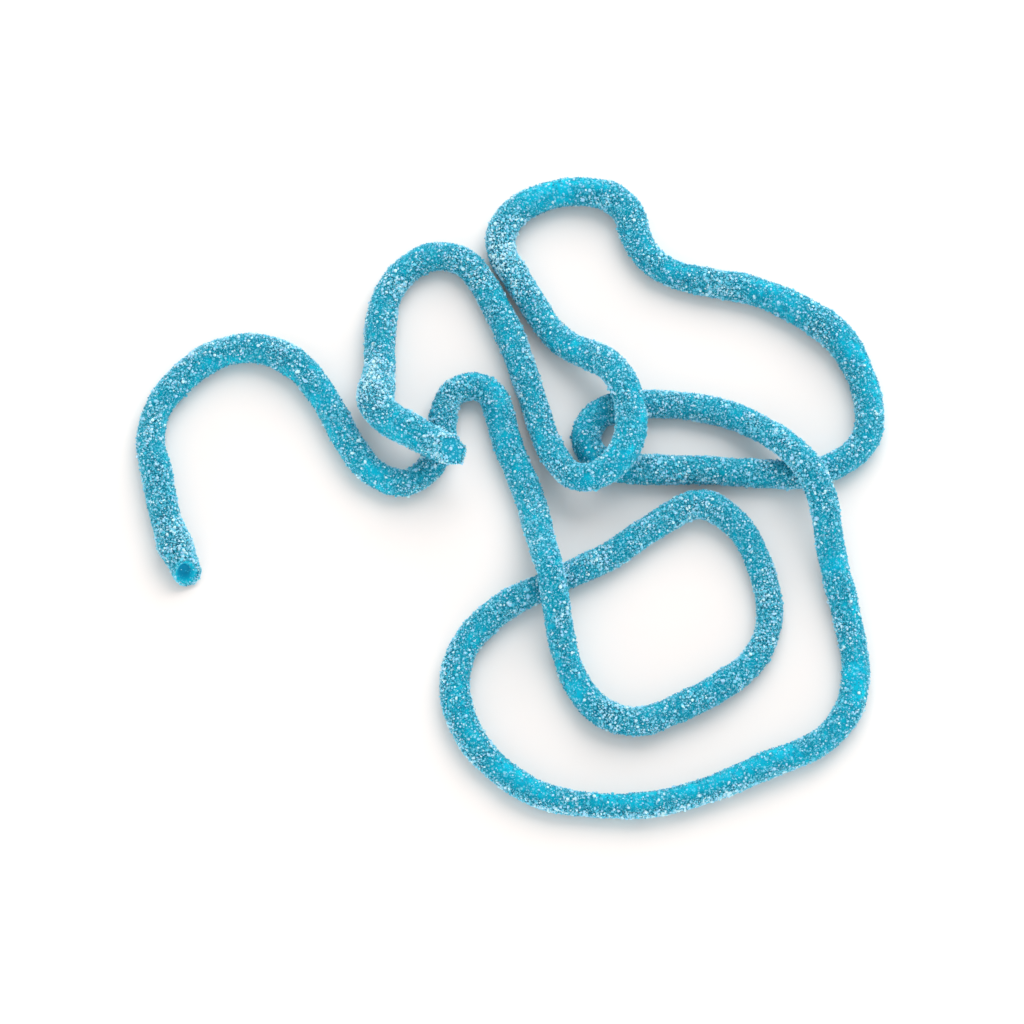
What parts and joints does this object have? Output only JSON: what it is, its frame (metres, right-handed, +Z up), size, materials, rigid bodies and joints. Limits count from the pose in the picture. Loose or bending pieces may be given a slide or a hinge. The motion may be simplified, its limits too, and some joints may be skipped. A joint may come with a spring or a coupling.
{
  "type": "sour gummy string",
  "caption": "Long round blue gummy string crusted with sour sugar, lying on a table in a loose tangle that crosses over itself, with cut ends",
  "frame": {"origin": "on the table under the middle of the tangle's bounding box", "axes": "+Z up off the table; +X along the tangle's longest side; the hollow first end and the wide front loop are towards -Y, the small back loop towards +Y"},
  "size_m": [0.1388, 0.126, 0.0134],
  "materials": {
    "sugared_gummy": "clear sky-blue gummy under a rough crust of white sour sugar grains"
  },
  "bodies": {
    "root": {"gummy_string": "sugared_gummy"}
  },
  "joints": []
}
